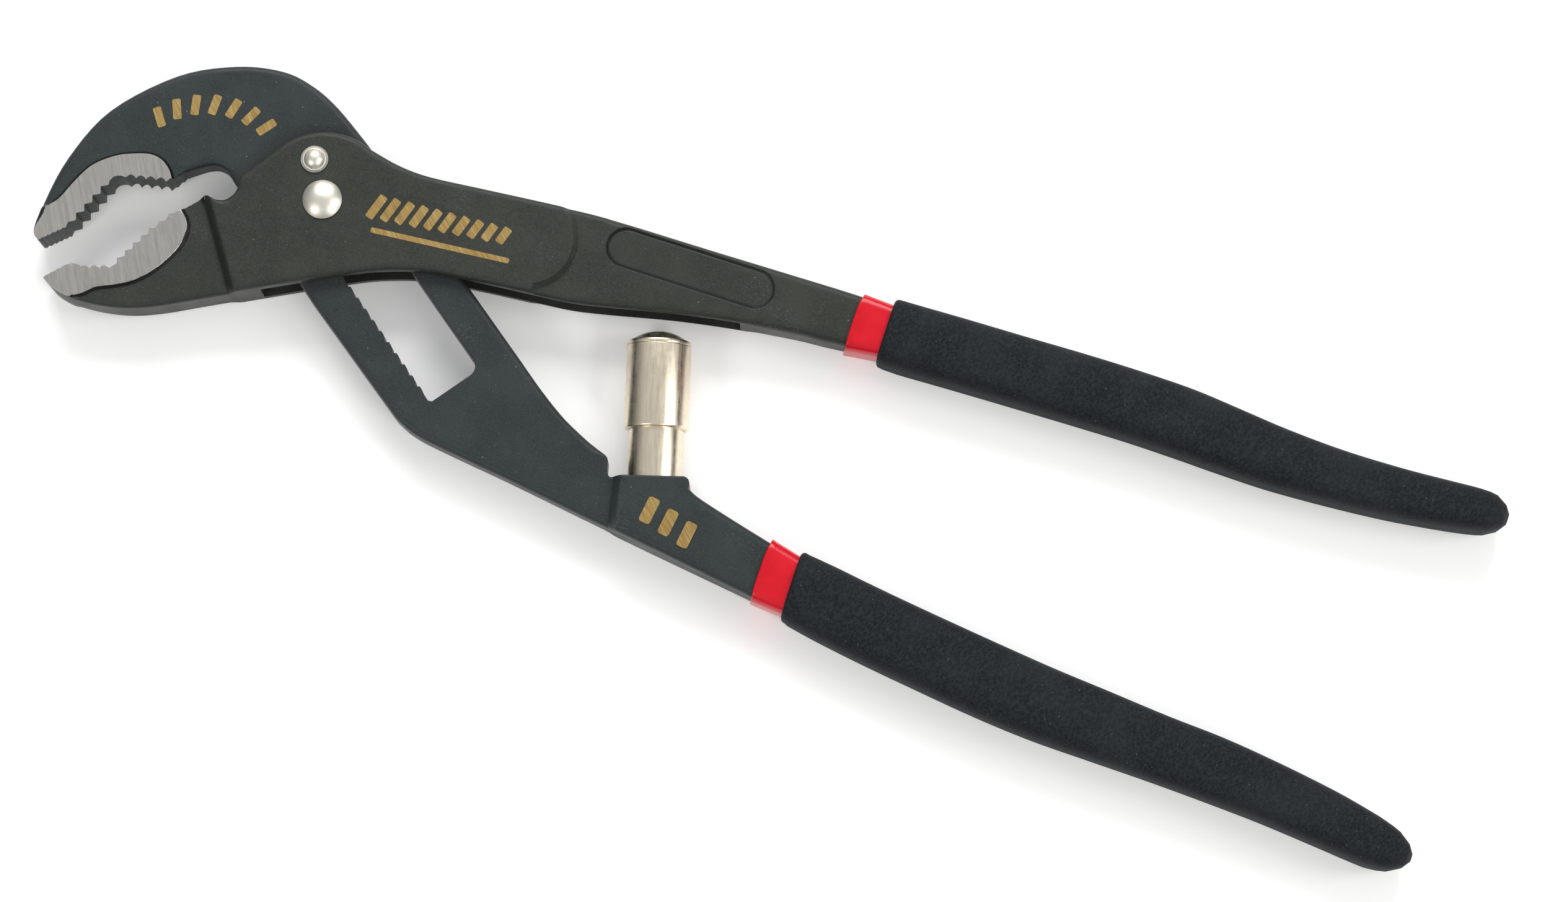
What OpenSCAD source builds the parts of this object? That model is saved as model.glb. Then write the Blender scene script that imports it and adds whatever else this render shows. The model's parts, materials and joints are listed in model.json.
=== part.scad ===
// Self-adjusting tongue and groove pliers, lying on their side.
// The outlines are drawn from the pivot axis: +X towards the handle ends, +Y towards the
// upper handle, +Z up through the thickness. Everything is then moved by pivot_pos, so that
// the origin is the centre of the underside of the whole tool.

/* [Levers] */
// Thickness of the body lever at the cheeks
cheek_t = 13.6; // [13.2:0.1:14]
// Thickness of the body lever's handle beside the cheeks
body_handle_t = 11.4; // [11:0.1:12]
// Thickness of both forged handles where the sleeves start
tang_t = 10; // [9.6:0.1:10.2]
// Thickness of the lower jaw
lower_jaw_t = 10; // [9:0.1:10.6]
// Width of the gap between the cheeks
cheek_gap = 7.9; // [7.8:0.05:8.2]
// Thickness of the arm plate that runs between the cheeks
plate_t = 7.5; // [7:0.1:7.6]
// Thickness of the boss that holds the post
boss_t = 12.6; // [12.4:0.1:13.2]
// Height of the ground pads above the sides of the jaws
pad_h = 0.7; // [0.4:0.1:0.8]
// Depth of the name panel in the handle
panel_depth = 0.4; // [0.2:0.1:0.8]

/* [Slot and rack] */
// Distance from the pivot line to the plain wall of the slot
slot_wall = 6.6; // [6.5:0.05:6.8]
// Length of the slot below the pivot at rest
slot_down = 45.9; // [45:0.1:47]
// Length of the slot above the pivot at rest
slot_up = 10.3; // [10.2:0.1:11]
// Distance between two rack teeth
rack_pitch = 2.75; // [2.7:0.01:2.8]
// Depth of a rack tooth
rack_depth = 0.68; // [0.6:0.02:0.7]
// Distance from the pivot line to the bottom of the rack teeth
rack_root = 5.9; // [5.88:0.01:5.95]

/* [Pivot] */
// Radius of the pivot rivet's shank
pivot_r = 3.2; // [2.9:0.05:3.3]
// Radius of the pivot rivet's domed head
pivot_head_r = 3.95; // [3.8:0.05:4.4]
// Radius of the stop rivet's shank
stop_r = 1.7; // [1.4:0.05:1.8]
// Radius of the stop rivet's domed head
stop_head_r = 2.45; // [2.3:0.05:2.6]
// Radial clearance of the turning parts
run_fit = 0.05; // [0.02:0.01:0.08]
// How far the pawl moves to lock
pawl_travel = 0.75; // [0.7:0.01:0.78]

/* [Post] */
// Radius of the post's outer sleeve
post_r = 6.5; // [6.3:0.05:6.7]
// Radius of the post's inner tube
post_tube_r = 5.5; // [5.3:0.05:5.6]
// Length of the outer sleeve with its cap
post_sleeve_len = 20.1; // [19:0.1:21]
// Length of inner tube that shows between the sleeve and the boss
post_stroke_len = 10; // [9.5:0.1:11]

/* [Grips] */
// Thickness of the red inner sleeves
sleeve_t = 11.4; // [11.2:0.1:11.6]
// Thickness of the black outer grips
grip_t = 13.4; // [13:0.1:13.5]

/* [Hidden] */
$fn = 64;

// Where the pivot axis and the mid-plane are, seen from the origin
pivot_pos = [-96.1, 19.7, cheek_t / 2];
// Direction of the slot, measured from +X
slot_dir = -37.1;
// Place of the stop rivet
stop_pos = [-4.1, 7.3];
// Middle of the domed top of the post, and the direction the post points down
post_top = [72.2, -3.6];
post_dir = -73.8;
// Gap left between surfaces that slide on each other, and between pressed ones
slide_gap = 0.1;
press_gap = 0.02;
// Ends of the handle forgings and of the soft layers over them
tang_from = 118;
tang_end = 236;
sleeve_end = 239;
upper_sleeve_x = 108.4;
lower_sleeve_x = 106.2;
upper_grip_x = 115.4;
lower_grip_x = 113.2;
// Wall of the sleeve and of the grip above and below the handle
sleeve_wall = 0.85;
grip_wall = 1.75;
// Height of the rivet heads
pivot_head_h = 1.55;
stop_head_h = 1.3;
washer_t = 0.3;
washer_r = 2.75;
// How far the rear heads of the rivets are countersunk
countersink = 1.2;
// The panel in the handle: middles of its two round ends, height and radius
panel_from = 60.9;
panel_to = 87.9;
panel_y = 9.75;
panel_r = 3.9;

// Outer outline of the grips: x, lower edge, upper edge
upper_grip_rows = [
    [115.4, 3.4, 17.1], [120, 3.2, 17.2], [130, 3.5, 17.5], [142, 3.8, 17.75], [156, 4.1, 18.1],
    [168, 4.25, 18.15], [178, 4.1, 17.9], [188, 3.8, 16.95], [198, 3.7, 15.95], [210, 4.25, 15.35],
    [222, 5.2, 15.5], [232, 6.5, 16.05], [238, 7.5, 16.4]
];
lower_grip_rows = [
    [113.2, -51.7, -37.4], [120, -53.1, -38.2], [130, -54.7, -39.65], [142, -56.3, -41.2],
    [156, -58, -42.85], [168, -58.95, -44.15], [180, -59.25, -45.15], [192, -59.5, -46.2],
    [204, -59.95, -46.95], [216, -60.6, -48.35], [228, -61.65, -50.2], [236, -62.4, -51.9],
    [239, -62.5, -52.7]
];
// The rounded nose of each grip: x, lower edge, upper edge, part of the full thickness
upper_nose = [[241.5, 8.3, 16.2, 0.88], [243.8, 9.6, 15, 0.62], [245, 11.2, 13.6, 0.28]];
lower_nose = [[242.5, -62, -53.9, 0.88], [245, -60.6, -55.6, 0.62], [246.2, -59, -57.2, 0.28]];

// ---- Helpers ----

// Smooth curve through all the points
function curve(p, steps = 5) = [
    for (i = [0 : len(p) - 2])
        let (
            a = p[max(i - 1, 0)],
            b = p[i],
            c = p[i + 1],
            d = p[min(i + 2, len(p) - 1)]
        )
        for (k = [0 : steps - 1 + (i == len(p) - 2 ? 1 : 0)])
            let (t = k / steps)
            0.5 * (2 * b + (c - a) * t + (2 * a - 5 * b + 4 * c - d) * t * t
                + (3 * b - a - 3 * c + d) * t * t * t)
];

// Row of n teeth: each is a tip and the corner behind it
function teeth(tip, step, corner, n) = [
    for (i = [0 : n - 1]) each [tip + i * step, tip + i * step + corner]
];

// Row of n hollows of the given depth between cusps
function scallops(cusp, step, depth, n, parts = 5) = [
    for (i = [0 : n - 1]) for (k = [0 : parts - 1])
        let (t = k / parts, side = [-step[1], step[0]] / norm(step))
        cusp + (i + t) * step + side * depth * 4 * t * (1 - t)
];

// Arc from one angle to another
function arc(centre, r, from, to, n = 8) = [
    for (i = [0 : n])
        let (a = from + (to - from) * i / n)
        centre + r * [cos(a), sin(a)]
];

// Point at distance along and across the slot, seen from the pivot at rest
function in_slot(along, across) = [
    along * cos(slot_dir) - across * sin(slot_dir),
    along * sin(slot_dir) + across * cos(slot_dir)
];

// The rows of a table that lie between two places along X
function rows_between(rows, from, to) = [for (r = rows) if (r[0] > from && r[0] < to) r];
// Height of an edge at x, taken along a straight line between rows
function edge_at(rows, x, column) = lookup(x, [for (r = rows) [r[0], r[column]]]);

// A slab centred on the mid-plane
module slab(t) {
    linear_extrude(height = t, center = true) children();
}

// Half thickness of each forged handle along X
upper_handle_profile = [
    [30, body_handle_t / 2], [86, body_handle_t / 2 - 0.3],
    [106, tang_t / 2], [tang_end, tang_t / 2 - 0.9]
];
lower_handle_profile = [
    [70, boss_t / 2], [88, boss_t / 2],
    [106, tang_t / 2], [tang_end, tang_t / 2 - 0.9]
];

// A bar along Y that follows a thickness profile
module thickness_profile(profile) {
    rotate([90, 0, 0])
        linear_extrude(height = 160, center = true)
            polygon(concat(
                [for (p = profile) [p[0], p[1]]],
                [for (i = [len(profile) - 1 : -1 : 0]) [profile[i][0], -profile[i][1]]]
            ));
}

// Turns a part drawn along +Z into the direction of the post, starting at its domed top
module along_post() {
    translate([post_top[0], post_top[1], 0])
        rotate([0, 0, post_dir])
            rotate([0, 90, 0])
                children();
}

// A soft sleeve: rounded rings joined from end to end. Each ring is x, low, high, half thickness
module soft_loft(rings, power, sides = 20) {
    points = [
        for (r = rings) for (k = [0 : sides - 1])
            let (a = 360 * k / sides, c = cos(a), s = sin(a))
            [
                r[0],
                (r[1] + r[2]) / 2 + (r[2] - r[1]) / 2 * sign(c) * pow(abs(c), 2 / power),
                r[3] * sign(s) * pow(abs(s), 2 / power)
            ]
    ];
    last = (len(rings) - 1) * sides;
    faces = concat(
        [[for (k = [0 : sides - 1]) k]],
        [
            for (i = [0 : len(rings) - 2]) for (k = [0 : sides - 1])
                let (a = i * sides + k, b = i * sides + (k + 1) % sides)
                [a, a + sides, b + sides, b]
        ],
        [[for (k = [sides - 1 : -1 : 0]) last + k]]
    );
    polyhedron(points = points, faces = faces, convexity = 4);
}

// A coil spring along +Z, made of round rings joined in a helix
module coil_spring(r, wire_r, length, turns, sides = 8, per_turn = 16) {
    n = turns * per_turn;
    points = [
        for (i = [0 : n]) for (k = [0 : sides - 1])
            let (
                a = 360 * i / per_turn,
                b = 360 * k / sides,
                z = wire_r + (length - 2 * wire_r) * i / n,
                out = r + wire_r * cos(b)
            )
            [out * cos(a), out * sin(a), z + wire_r * sin(b)]
    ];
    faces = concat(
        [[for (k = [sides - 1 : -1 : 0]) k]],
        [
            for (i = [0 : n - 1]) for (k = [0 : sides - 1])
                let (a = i * sides + k, b = i * sides + (k + 1) % sides)
                [a, b, b + sides, a + sides]
        ],
        [[for (k = [0 : sides - 1]) n * sides + k]]
    );
    polyhedron(points = points, faces = faces, convexity = 10);
}

// ---- Outlines ----

// The forging inside a grip: its lower edge outwards, its end, and its upper edge back
function tang_edge(rows, end_y) =
    let (
        inset = sleeve_wall + grip_wall,
        inner = rows_between(rows, tang_from, tang_end)
    )
    concat(
        [for (r = inner) [r[0], r[1] + inset]],
        [[tang_end, end_y]],
        [for (i = [len(inner) - 1 : -1 : 0]) [inner[i][0], inner[i][2] - inset]]
    );

// Lower jaw's gripping edge, from the throat to the tip: small steps, large teeth, a saddle and
// fine teeth
lower_teeth = concat(
    curve([[-17.1, -2.8], [-17.4, -4.2], [-18.6, -5.8], [-20.3, -6.5], [-21.4, -6.4]], 4),
    arc([-22.4, -7.1], 0.9, 90, 165, 3),
    teeth([-24.1, -8], [-0.82, -0.9], [-0.35, -0.3], 3),
    [[-27.5, -11.4]],
    teeth([-28.45, -12.15], [-1.4, -2.05], [-0.15, -1.15], 2),
    teeth([-31.3, -16.1], [-1.02, -1.93], [0.28, -1], 5),
    [[-36.2, -26.15]],
    teeth([-37.5, -25.8], [-1.85, -0.6], [-0.5, -0.9], 3),
    [[-42.6, -27.2], [-43.9, -27.6]],
    teeth([-44.6, -28.2], [-0.9, -0.95], [-0.45, -0.35], 4),
    [[-48.2, -32.1]]
);

lower_jaw_back = curve([
    [-48.2, -32.1], [-46, -33.4], [-42, -34.2], [-36, -33.9], [-30, -32.6], [-24, -30.1],
    [-17, -26.4], [-9, -22.2], [0, -17.5], [10, -12.4], [16, -9.8], [24, -7.4], [34, -6.1],
    [46, -5], [54, -4.2], [62, -2.6], [74, 0.1], [86, 2.2], [98, 3.7], [104, 4.1]
], 4);

body_top = concat(
    curve([[-17.4, -1.6], [-17.3, -0.6], [-16.7, 0.5], [-15.9, 1.6]], 3),
    [[-12.4, 6.8]],
    arc([0, 0], 14.1, 148, 66, 12),
    curve([
        [8.6, 12.2], [13, 11.4], [19, 11.2], [30, 12.2], [44, 13.5], [56, 14.4], [80, 14.7], [104, 15.1]
    ], 4)
);

module body_outline() {
    polygon(concat(
        lower_teeth,
        lower_jaw_back,
        [[upper_sleeve_x, 4.5]],
        tang_edge(upper_grip_rows, 11.8),
        [[upper_sleeve_x, 15.1]],
        [for (i = [len(body_top) - 1 : -1 : 0]) body_top[i]]
    ));
}

// Room between the cheeks for the arm at every angle and length
module cheek_room() {
    polygon([
        [-4.3, -25.8], [-10.95, -9.4], [-26, -0.35], [-26, 30], [3.7, 30], [11.8, 10.1], [24, 2.8],
        [84, 6], [86.8, 4.6], [87.4, 1.5], [87.4, -14], [20, -25.8]
    ]);
}

// Gripping edge of the upper jaw, from the tip to the throat: fine teeth, large teeth, a round
// corner, hollows and two small steps
upper_teeth = concat(
    teeth([-52.1, -25], [0.81, 0.76], [0.5, 0.12], 6),
    [[-47.45, -19.8]],
    teeth([-46.05, -18.9], [0.97, 2.22], [-0.45, 1.4], 4),
    [[-42.17, -10.02]],
    curve([[-42.3, -9.2], [-41.9, -8.3], [-41.1, -7.7], [-40.2, -7.45]], 3),
    scallops([-39.4, -7.57], [1.98, 0.43], 0.75, 4),
    [[-31.4, -5.9], [-30.9, -5]],
    teeth([-30.2, -4.7], [0.95, 1.15], [0.4, 0.9], 2),
    curve([[-28.6, -2.7], [-26.9, -1.4], [-25, -0.1], [-23, 0.65], [-21, 0.35], [-19.6, -0.7]], 4)
);

upper_back = curve([
    [4.4, 14.2], [-3.6, 19.4], [-10, 22.2], [-16.8, 23.2], [-26, 21.3], [-36.7, 15.7],
    [-47.2, 4.8], [-52.1, -7], [-53.7, -17.5], [-53.5, -23.3], [-52.1, -25]
], 5);

arm_bottom = curve([
    [4, -19.7], [14, -27], [25, -35], [28.5, -37.4], [33, -39.1], [40, -40.2], [54, -42],
    [72, -44.6], [90, -47.1], [105, -49.2]
], 4);

arm_top = concat(
    curve([[105, -37.5], [100, -36.3], [94, -34.8], [89.6, -33.6]], 4),
    curve([[88, -32.9], [87.9, -31.9], [87.3, -31], [86.4, -30.75]], 3),
    [[73.9, -34.45]],
    curve([[73.2, -34.7], [72.2, -35.1], [71.4, -34.4], [71, -33.2], [70.5, -31.6], [69.2, -30.9]], 3),
    curve([[66, -29.7], [60, -26.8], [54, -22.9], [48, -18.4]], 4)
);

module arm_outline() {
    polygon(concat(
        upper_teeth,
        arm_bottom,
        [[110, -50.1]],
        tang_edge(lower_grip_rows, -57.2),
        [[110, -38.7]],
        arm_top,
        upper_back
    ));
}

// One valley of the rack every pitch, with the steep side facing up the slot
module slot_outline() {
    first_valley = 0.33 - rack_pitch;
    rack_teeth = [
        for (i = [-1 : 16])
            let (v = first_valley + i * rack_pitch)
            if (v < slot_down - 2)
                each [
                    in_slot(v, -rack_root),
                    in_slot(v + 0.43, rack_depth - rack_root),
                    in_slot(v + 1.15, rack_depth - 0.04 - rack_root),
                    in_slot(v + 1.9, rack_depth / 2 + 0.1 - rack_root)
                ]
    ];
    corner_r = 2.3;
    polygon(concat(
        [in_slot(1.2 - slot_up, -5.4)],
        rack_teeth,
        [in_slot(slot_down - 0.6, -5.5), in_slot(slot_down, -4.9)],
        [
            for (a = [0 : 15 : 90])
                in_slot(
                    slot_down - corner_r * (1 - cos(a)),
                    slot_wall - corner_r * (1 - sin(a))
                )
        ],
        [
            for (a = [0 : 15 : 90])
                in_slot(
                    corner_r * (1 - sin(a)) - slot_up,
                    slot_wall - corner_r * (1 - cos(a))
                )
        ],
        [in_slot(-slot_up, -4.2)]
    ));
}

// Edge of the bright ground pad on the lower jaw
module lower_pad_outline() {
    intersection() {
        polygon(concat(
            [[-60, -40], [-60, -5], [-26.9, -5], [-26.4, -10.2]],
            curve([
                [-26.4, -10.2], [-24.6, -11.8], [-23.7, -14.4], [-24, -17.5], [-25.4, -20.8],
                [-27.6, -24.2], [-30.6, -27.3], [-34.3, -29.5], [-37.5, -31], [-39.6, -33],
                [-42, -34.4]
            ], 4)
        ));
        body_outline();
    }
}

// Edge of the bright ground pad on the upper jaw
module upper_pad_outline() {
    intersection() {
        polygon(concat(
            [[-30.6, -7.5], [-60, -40], [-60, -18.4], [-53.7, -18.4]],
            curve([
                [-53.7, -18.4], [-51.2, -15.9], [-49.3, -11.4], [-46.9, -7], [-43, -3.7],
                [-39.5, -2.1], [-36.3, -1.2], [-33.6, -1.6], [-31.6, -3], [-30.4, -4.6]
            ], 4)
        ));
        arm_outline();
    }
}

// ---- Forged levers ----

// Sloping step from the lower jaw up to both cheeks
module jaw_step() {
    for (side = [0, 1])
        mirror([0, 0, side])
            translate([-17, -15.2, 0])
                rotate([0, 0, -56.4])
                    rotate([90, 0, 90])
                        linear_extrude(height = 90, center = true)
                            polygon([
                                [-80, lower_jaw_t / 2], [-0.7, lower_jaw_t / 2],
                                [0.9, cheek_t / 2 + 0.1], [0.9, 20], [-80, 20]
                            ]);
}

module body_lever() {
    color("darkslategray") translate(pivot_pos)
        difference() {
            union() {
                // Lower jaw and cheeks, ending in a rounded edge on the handle
                difference() {
                    slab(cheek_t)
                        intersection() {
                            body_outline();
                            union() {
                                translate([-60, -50])
                                    square([102, 90]);
                                translate([41.6, 5.2])
                                    circle(r = 9.7);
                                polygon([[42, -30], [46, -5.2], [42, 5], [45, 13.4], [42, 30]]);
                            }
                        }
                    jaw_step();
                }
                // Handle forging down to the end of the tang
                intersection() {
                    slab(cheek_t)
                        intersection() {
                            body_outline();
                            translate([30, -30])
                                square([tang_end, 70]);
                        }
                    thickness_profile(upper_handle_profile);
                }
                slab(lower_jaw_t + 2 * pad_h)
                    lower_pad_outline();
            }
            slab(cheek_gap)
                cheek_room();
            // Bores of the pivot and of the stop rivet, countersunk at the rear
            cylinder(r = pivot_r + run_fit, h = cheek_t + 2, center = true);
            translate([stop_pos[0], stop_pos[1], 0])
                cylinder(r = stop_r + press_gap, h = cheek_t + 2, center = true);
            translate([0, 0, -cheek_t / 2 - 0.01])
                cylinder(r1 = pivot_head_r + run_fit, r2 = pivot_r + run_fit, h = countersink);
            translate([stop_pos[0], stop_pos[1], -cheek_t / 2 - 0.01])
                cylinder(r1 = stop_head_r + press_gap, r2 = stop_r + press_gap, h = countersink);
            name_panel();
        }
}

// Shallow panel with round ends in both sides of the handle
module name_panel() {
    for (side = [0, 1])
        mirror([0, 0, side])
            translate([0, 0, body_handle_t / 2 - 0.3 - panel_depth])
                linear_extrude(height = 5) {
                    for (x = [panel_from, panel_to])
                        translate([x, panel_y])
                            circle(r = panel_r);
                    translate([panel_from, panel_y - panel_r])
                        square([panel_to - panel_from, 2 * panel_r]);
                }
}

module arm_lever() {
    color("slategray") translate(pivot_pos)
        difference() {
            union() {
                slab(plate_t)
                    intersection() {
                        arm_outline();
                        translate([-60, -60])
                            square([140, 90]);
                    }
                slab(plate_t + 2 * pad_h)
                    upper_pad_outline();
                // Boss and handle, thicker than the plate
                intersection() {
                    slab(boss_t)
                        intersection() {
                            arm_outline();
                            polygon([
                                [73.6, -30], [73.6, -34.6], [76, -46], [76, -75], [tang_end + 9, -75],
                                [tang_end + 9, -20], [73.6, -20]
                            ]);
                        }
                    thickness_profile(lower_handle_profile);
                }
            }
            slab(boss_t + 2)
                slot_outline();
            // Socket of the post
            along_post()
                translate([0, 0, post_foot - post_grip])
                    cylinder(r = post_tube_r + press_gap, h = post_grip + 0.02);
        }
}

// ---- Pivot ----

// Radius of the ball that gives a dome its height
function dome_ball(r, h) = (r * r + h * h) / (2 * h);

// A domed head standing on z = 0
module dome(r, h) {
    ball = dome_ball(r, h);
    intersection() {
        translate([0, 0, h - ball])
            sphere(r = ball, $fn = 96);
        cylinder(r = r + 0.01, h = h + 1);
    }
}

module rivet(r, head_r, head_h, seat) {
    translate([0, 0, -cheek_t / 2])
        cylinder(r = r, h = cheek_t + seat);
    translate([0, 0, -cheek_t / 2])
        cylinder(r1 = head_r, r2 = r, h = countersink - run_fit);
    translate([0, 0, cheek_t / 2 + seat]) {
        cylinder(r = head_r, h = 0.25);
        translate([0, 0, 0.25])
            dome(head_r, head_h);
    }
}

module pivot_rivet() {
    color("gainsboro") translate(pivot_pos)
        rivet(pivot_r, pivot_head_r, pivot_head_h, run_fit);
}

module stop_rivet() {
    color("gainsboro") translate(pivot_pos)
        translate([stop_pos[0], stop_pos[1], 0])
            rivet(stop_r, stop_head_r, stop_head_h, washer_t + run_fit);
}

module stop_washer() {
    color("silver") translate(pivot_pos)
        translate([stop_pos[0], stop_pos[1], cheek_t / 2 + run_fit / 2])
            difference() {
                cylinder(r = washer_r, h = washer_t);
                translate([0, 0, -1])
                    cylinder(r = stop_r + slide_gap / 2, h = washer_t + 2);
            }
}

// Half height of the guide block and of the pawl along the slot
block_half = 5;
block_side_t = plate_t / 2 - slide_gap;

// Slides along the plain wall of the slot and carries the pawl
module guide_block() {
    color("dimgray") translate(pivot_pos)
        rotate([0, 0, slot_dir])
            translate([0, 0, -plate_t / 2])
                difference() {
                    linear_extrude(height = block_side_t)
                        difference() {
                            union() {
                                translate([-block_half, -1])
                                    square([2 * block_half - 2.3, slot_wall - slide_gap + 1]);
                                translate([-block_half, -1])
                                    square([2 * block_half, slot_wall - slide_gap - 1.3]);
                                translate([block_half - 2.3, slot_wall - slide_gap - 2.3])
                                    circle(r = 2.3);
                                circle(r = 4.5);
                            }
                        }
                    translate([0, 0, -1])
                        cylinder(r = pivot_r + run_fit, h = plate_t);
                }
}

// Toothed plate round the rivet, free to move towards the rack
module pawl() {
    tip = rack_root - 0.2 - pawl_travel;
    base = tip - 0.6;
    room = pivot_r + 0.12;
    color("silver") translate(pivot_pos)
        rotate([0, 0, slot_dir])
            translate([0, 0, slide_gap])
                linear_extrude(height = block_side_t - slide_gap)
                    difference() {
                        polygon(concat(
                            [[-block_half + 0.3, -base + 0.6]],
                            [
                                for (i = [-1 : 1])
                                    let (v = 0.33 + i * rack_pitch)
                                    each [[v - 1.4, -base], [v - 0.12, -tip], [v + 0.2, -base]]
                            ],
                            [
                                [block_half - 0.3, -base + 0.3], [block_half - 0.3, 4.6],
                                [block_half - 1, 5.5], [-block_half, 5.5], [-block_half, -base + 1.4]
                            ]
                        ));
                        // Long hole: round the rivet, with room on the spring's side
                        circle(r = room);
                        translate([0, pawl_travel])
                            circle(r = room);
                        translate([-room, 0])
                            square([2 * room, pawl_travel]);
                        // Pocket of the leaf spring
                        translate([-2.2, 0])
                            square([4.4, 4.75]);
                    }
}

// Bowed leaf that pushes the pawl away from the rack
module pawl_spring() {
    bow_r = 3.6;
    leaf_t = 0.3;
    color("lightsteelblue") translate(pivot_pos)
        rotate([0, 0, slot_dir])
            translate([0, 0, 0.6])
                linear_extrude(height = 2.6)
                    polygon(concat(
                        arc([0, 3.45 + bow_r], bow_r, 236, 304, 10),
                        arc([0, 3.45 + bow_r], bow_r - leaf_t, 304, 236, 10)
                    ));
}

// ---- Post ----

// Places along the post, measured from its domed top
cap_seam = 3.1;
cap_plug = 1.1;
cap_dome_h = 2.2;
sleeve_bore_r = post_r - 0.55;
sleeve_lip = 3;
post_foot = post_sleeve_len + post_stroke_len + 8;
post_grip = 9.5;
tube_bore_r = post_tube_r - 1.1;
seat_t = 3;
tube_top = 10.6;
ring_t = 0.8;
ring_at = post_sleeve_len - sleeve_lip - ring_t - 0.1;

// Tube pressed into the boss, on which the sleeve slides
module post_tube() {
    color("silver") translate(pivot_pos)
        along_post()
            difference() {
                translate([0, 0, tube_top])
                    cylinder(r = post_tube_r, h = post_foot - tube_top);
                translate([0, 0, tube_top - 1])
                    cylinder(r = tube_bore_r, h = post_foot - seat_t - tube_top + 1);
                translate([0, 0, post_foot - seat_t - 1])
                    cylinder(r = tube_bore_r, h = seat_t + 2);
                // Groove of the stop ring
                translate([0, 0, ring_at - 0.05])
                    difference() {
                        cylinder(r = post_tube_r + 1, h = ring_t + 0.1);
                        translate([0, 0, -1])
                            cylinder(r = post_tube_r - 0.45, h = 3);
                    }
            }
}

// Outer sleeve with a lip at its lower end that catches the stop ring
module post_sleeve() {
    color("gainsboro") translate(pivot_pos)
        along_post()
            difference() {
                union() {
                    translate([0, 0, cap_seam])
                        cylinder(r = post_r, h = post_sleeve_len - cap_seam - 0.6);
                    translate([0, 0, post_sleeve_len - 0.6])
                        cylinder(r1 = post_r, r2 = post_r - 0.5, h = 0.6);
                }
                translate([0, 0, cap_seam - 1])
                    cylinder(r = sleeve_bore_r, h = post_sleeve_len - sleeve_lip - cap_seam + 1);
                translate([0, 0, cap_seam])
                    cylinder(r = post_tube_r + run_fit, h = post_sleeve_len);
            }
}

// Domed cap on the sleeve: the face that meets the upper handle
module post_cap() {
    ball = dome_ball(post_r - 0.6, cap_dome_h - 0.5);
    color("gainsboro") translate(pivot_pos)
        along_post() {
            difference() {
                union() {
                    intersection() {
                        translate([0, 0, ball])
                            sphere(r = ball, $fn = 96);
                        cylinder(r = post_r - 0.6, h = cap_dome_h);
                    }
                    translate([0, 0, cap_dome_h - 0.5])
                        cylinder(r1 = post_r - 0.6, r2 = post_r, h = 0.6);
                    translate([0, 0, cap_dome_h + 0.1])
                        cylinder(r = post_r, h = cap_seam - cap_dome_h - 0.15);
                    translate([0, 0, cap_seam - 0.2])
                        cylinder(r = sleeve_bore_r - press_gap, h = cap_plug + 0.2);
                }
                translate([0, 0, cap_seam + 0.4])
                    cylinder(r = tube_bore_r, h = cap_plug);
            }
        }
}

// Spring inside the post, between the cap and its seat
module post_spring() {
    color("lightsteelblue") translate(pivot_pos)
        along_post()
            translate([0, 0, cap_seam + 0.5])
                coil_spring(3.4, 0.55, post_foot - seat_t - cap_seam - 0.7, 9);
}

// Split ring that keeps the sleeve on the tube
module post_stop_ring() {
    color("dimgray") translate(pivot_pos)
        along_post()
            translate([0, 0, ring_at])
                difference() {
                    cylinder(r = sleeve_bore_r - slide_gap, h = ring_t);
                    translate([0, 0, -1])
                        cylinder(r = post_tube_r - 0.4, h = 3);
                    translate([0, -0.75, -1])
                        cube([10, 1.5, 4]);
                }
}

// Plug in the foot of the tube that the spring stands on
module spring_seat() {
    color("dimgray") translate(pivot_pos)
        along_post()
            translate([0, 0, post_foot - seat_t])
                cylinder(r = tube_bore_r - press_gap, h = seat_t);
}

// ---- Grips ----

// Rings of a soft layer that lies inset from the grip's outer surface
function layer_rings(rows, inset, half_t) = [
    for (r = rows) [r[0], r[1] + inset, r[2] - inset, half_t]
];

function sleeve_rings(rows, first, low, high) = concat(
    [[first, low, high, sleeve_t / 2]],
    layer_rings(rows_between(rows, first + 9, sleeve_end), grip_wall, sleeve_t / 2 - 0.1),
    [[
        sleeve_end,
        edge_at(rows, sleeve_end, 1) + grip_wall,
        edge_at(rows, sleeve_end, 2) - grip_wall,
        sleeve_t / 2 - 0.5
    ]]
);

function grip_rings(rows, nose) = concat(
    [[rows[0][0], rows[0][1] + 0.5, rows[0][2] - 0.5, grip_t / 2 - 0.5]],
    [[rows[0][0] + 1, rows[0][1], rows[0][2], grip_t / 2]],
    layer_rings(rows_between(rows, rows[0][0] + 2, 300), 0, grip_t / 2),
    [for (r = nose) [r[0], r[1], r[2], r[3] * grip_t / 2]]
);

upper_sleeve_rings = sleeve_rings(upper_grip_rows, upper_sleeve_x, 3.65, 15.95);
lower_sleeve_rings = sleeve_rings(lower_grip_rows, lower_sleeve_x, -50.2, -36.9);

module upper_tang() {
    intersection() {
        slab(cheek_t)
            intersection() {
                body_outline();
                translate([upper_sleeve_x - 1, -5])
                    square([tang_end, 40]);
            }
        thickness_profile(upper_handle_profile);
    }
}

module lower_tang() {
    intersection() {
        slab(boss_t)
            intersection() {
                arm_outline();
                translate([lower_sleeve_x - 1, -80])
                    square([tang_end, 70]);
            }
        thickness_profile(lower_handle_profile);
    }
}

module upper_sleeve() {
    color("crimson") translate(pivot_pos)
        difference() {
            soft_loft(upper_sleeve_rings, 6);
            upper_tang();
        }
}

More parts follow.
